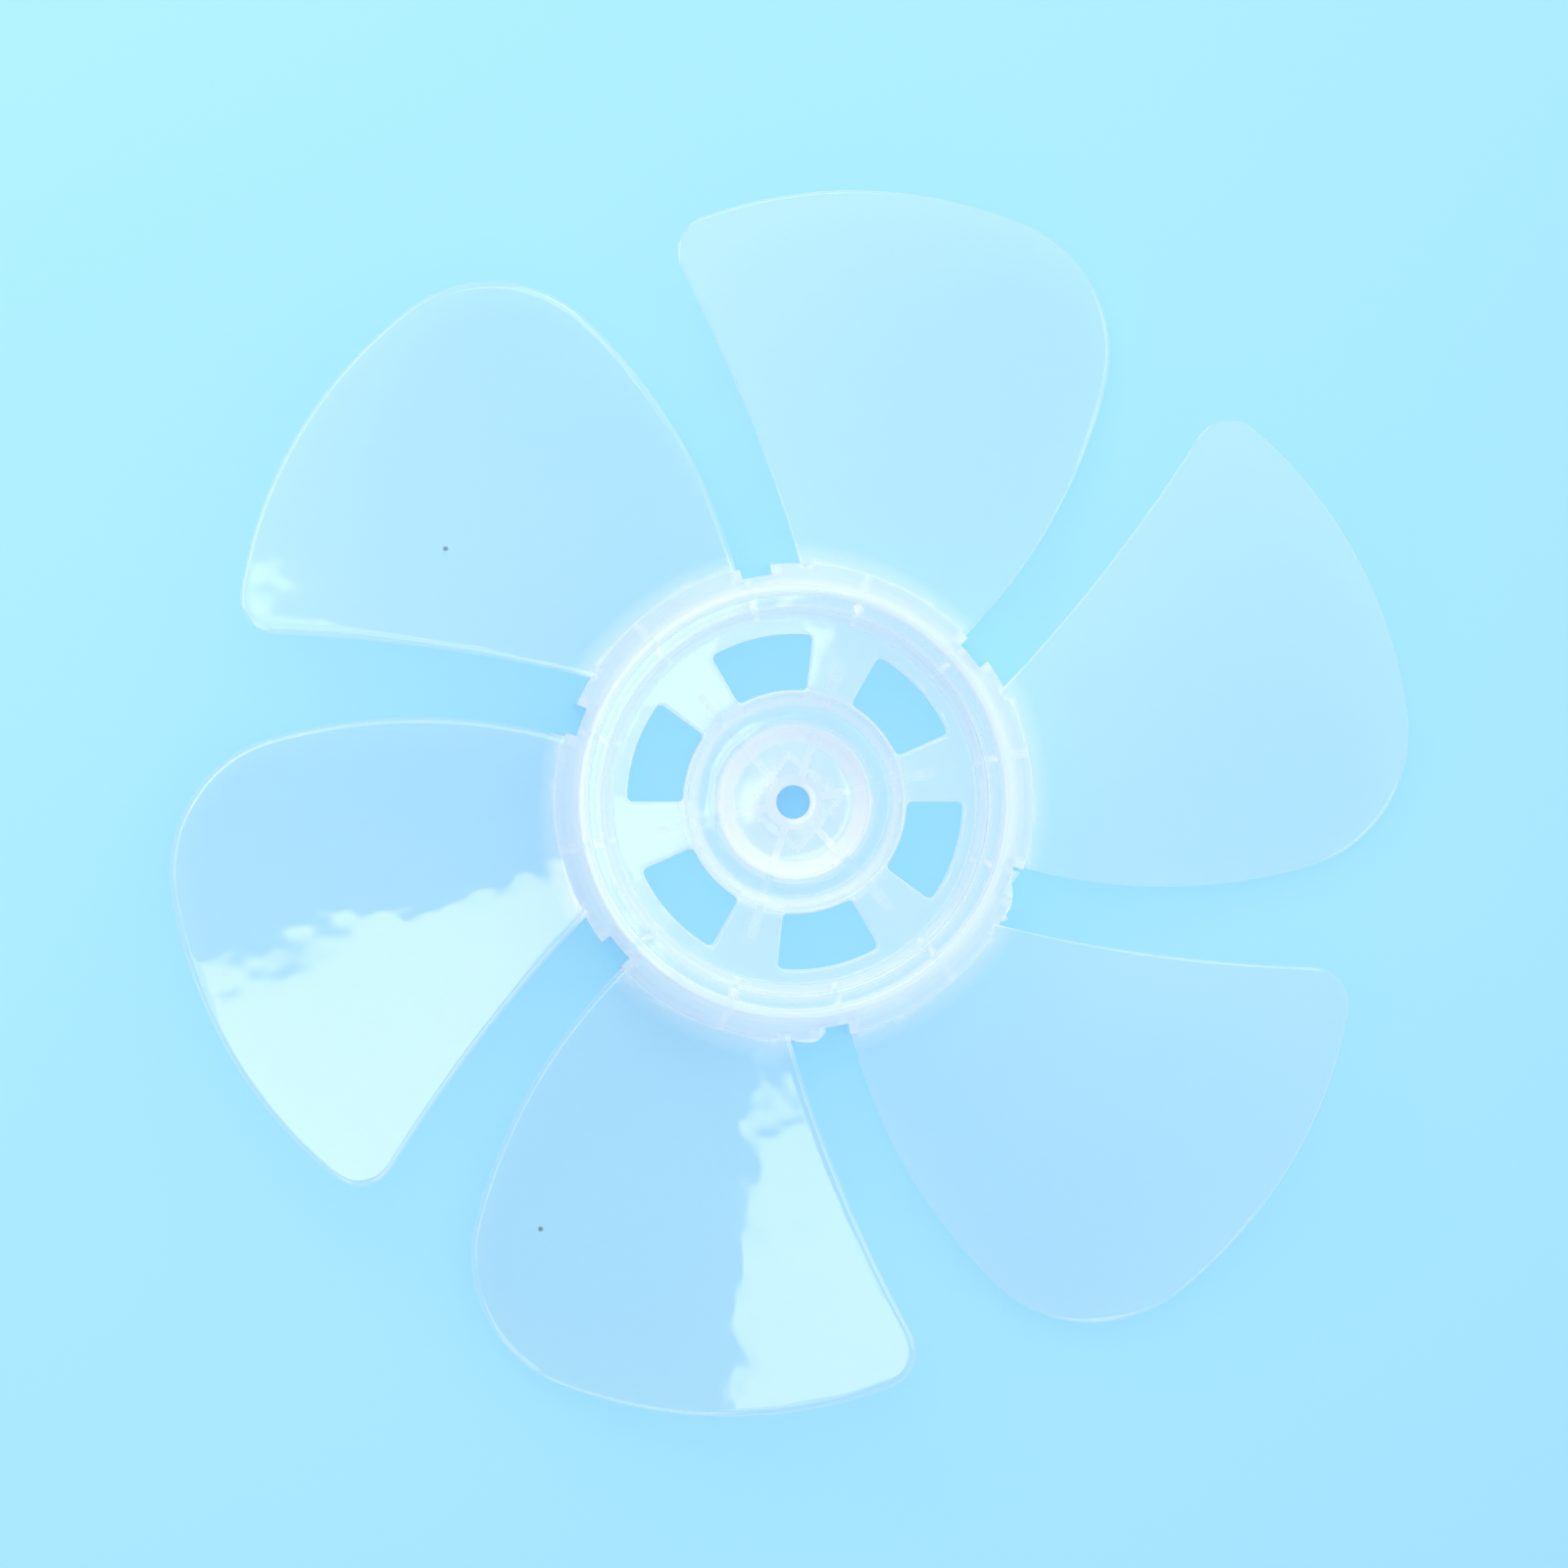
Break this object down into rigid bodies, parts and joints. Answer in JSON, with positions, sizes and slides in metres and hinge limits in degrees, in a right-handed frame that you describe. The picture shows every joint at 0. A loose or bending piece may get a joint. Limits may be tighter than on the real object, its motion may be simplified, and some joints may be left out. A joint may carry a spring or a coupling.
{
  "type": "pedestal fan blade",
  "caption": "Moulded fan impeller with broad pitched blades on a stepped, hollow hub with ventilation windows and a round bore for the motor shaft.",
  "frame": {"origin": "on the shaft's axis, in the plane of the hub's back rim", "axes": "+Z along the shaft's axis to the front of the fan, +X out along a spoke and the middle of a blade"},
  "size_m": [0.2984, 0.2792, 0.04],
  "materials": {
    "clear_plastic": "milky, see-through, glossy moulding with flow marks"
  },
  "bodies": {
    "root": {"fan_blade": "clear_plastic"}
  },
  "joints": []
}
